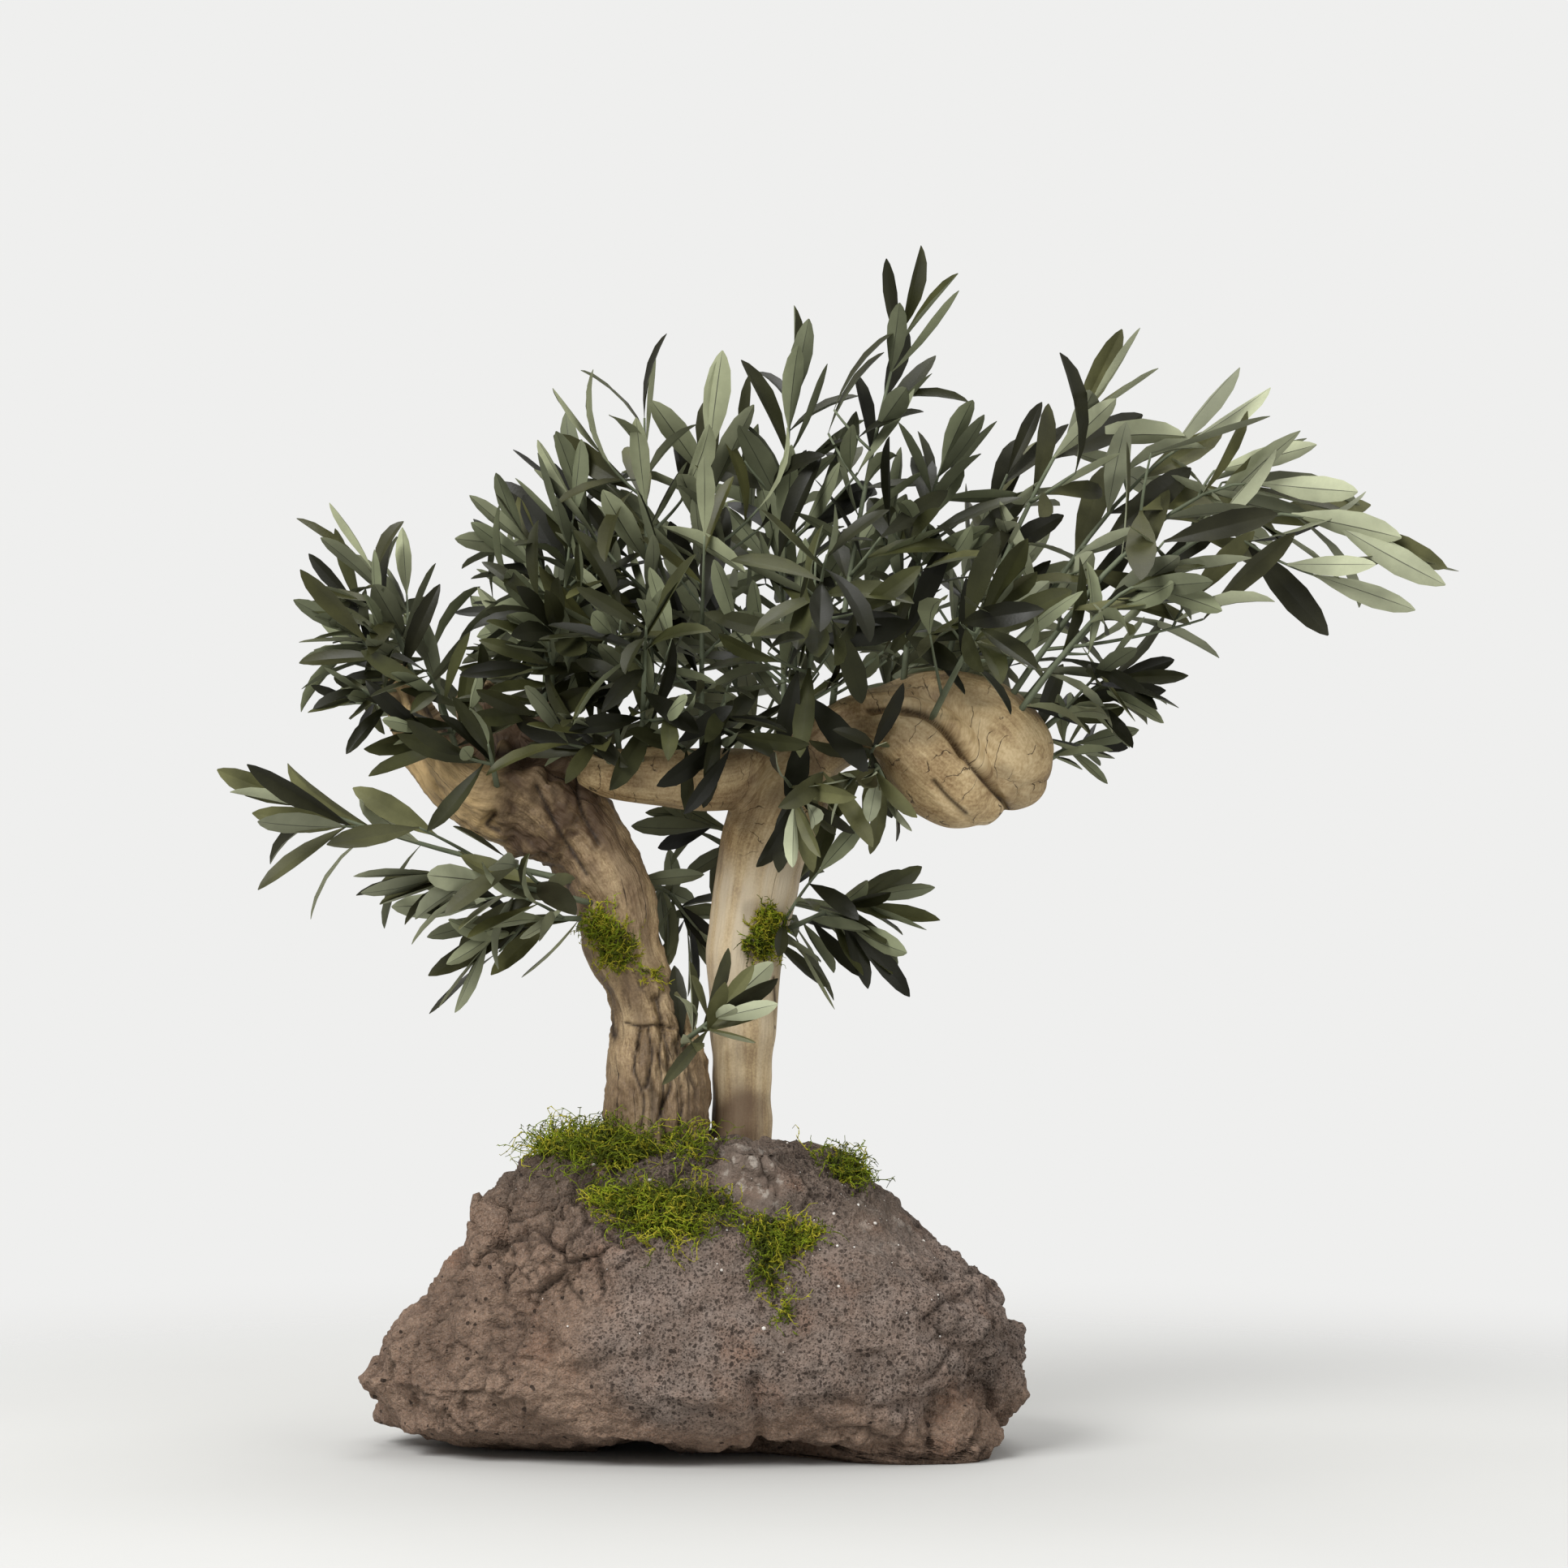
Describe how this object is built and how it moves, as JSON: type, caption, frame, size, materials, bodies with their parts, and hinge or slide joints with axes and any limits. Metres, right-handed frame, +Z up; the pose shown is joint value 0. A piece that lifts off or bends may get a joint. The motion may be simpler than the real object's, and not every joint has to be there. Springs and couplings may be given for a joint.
{
  "type": "bonsai tree on a stone",
  "caption": "Olive bonsai with twin weathered stems standing in a porous lava stone, its boughs carrying open sprays of narrow leaves, with moss at the foot.",
  "frame": {"origin": "on the flat underside of the stone, below the joint of the two stems", "axes": "+Z up, +X to the right as seen from the front, where the long spray reaches out, +Y to the back"},
  "size_m": [0.641, 0.2773, 0.628],
  "materials": {
    "stone": "matt, porous",
    "barkwood": "rough, weathered",
    "barewood": "smooth, dry",
    "leaf": "matt to satin",
    "moss": "matt, stringy"
  },
  "bodies": {
    "root": {"stone": "stone", "stem_left": "barkwood", "stem_right": "barewood", "bough_left": "barkwood", "stub_left": "barewood", "bough_right": "barewood", "spray_left_high": "leaf", "spray_left_mid": "leaf", "spray_left_outer": "leaf", "spray_left_droop": "leaf", "spray_left_front": "leaf", "spray_left_back": "leaf", "spray_left_inner": "leaf", "spray_shoulder_low": "leaf", "spray_shoulder_mid": "leaf", "spray_shoulder_high": "leaf", "spray_shoulder_back": "leaf", "spray_shoulder_front": "leaf", "spray_stub_left": "leaf", "spray_stub_high": "leaf", "spray_stub_front": "leaf", "spray_stub_low": "leaf", "spray_stub_right": "leaf", "spray_fork_front": "leaf", "spray_crown_left": "leaf", "spray_crown_top": "leaf", "spray_crown_front": "leaf", "spray_crown_back": "leaf", "spray_crown_rear": "leaf", "spray_fork_hang": "leaf", "spray_knob_rise": "leaf", "spray_knob_mid": "leaf", "spray_knob_high": "leaf", "spray_knob_far": "leaf", "spray_knob_reach": "leaf", "spray_knob_long": "leaf", "spray_knob_outer": "leaf", "spray_knob_low": "leaf", "spray_knob_droop": "leaf", "spray_knob_front": "leaf", "spray_knob_back": "leaf", "spray_knob_rear": "leaf", "spray_under_hang": "leaf", "spray_low_left": "leaf", "spray_low_left_mid": "leaf", "spray_low_left_droop": "leaf", "spray_crotch": "leaf", "spray_low_right": "leaf", "spray_between": "leaf", "spray_between_high": "leaf", "spray_low_back": "leaf", "moss_foot": "moss", "moss_front": "moss", "moss_trail": "moss", "moss_right": "moss", "moss_stem_left": "moss", "moss_stem_right": "moss"}
  },
  "joints": []
}
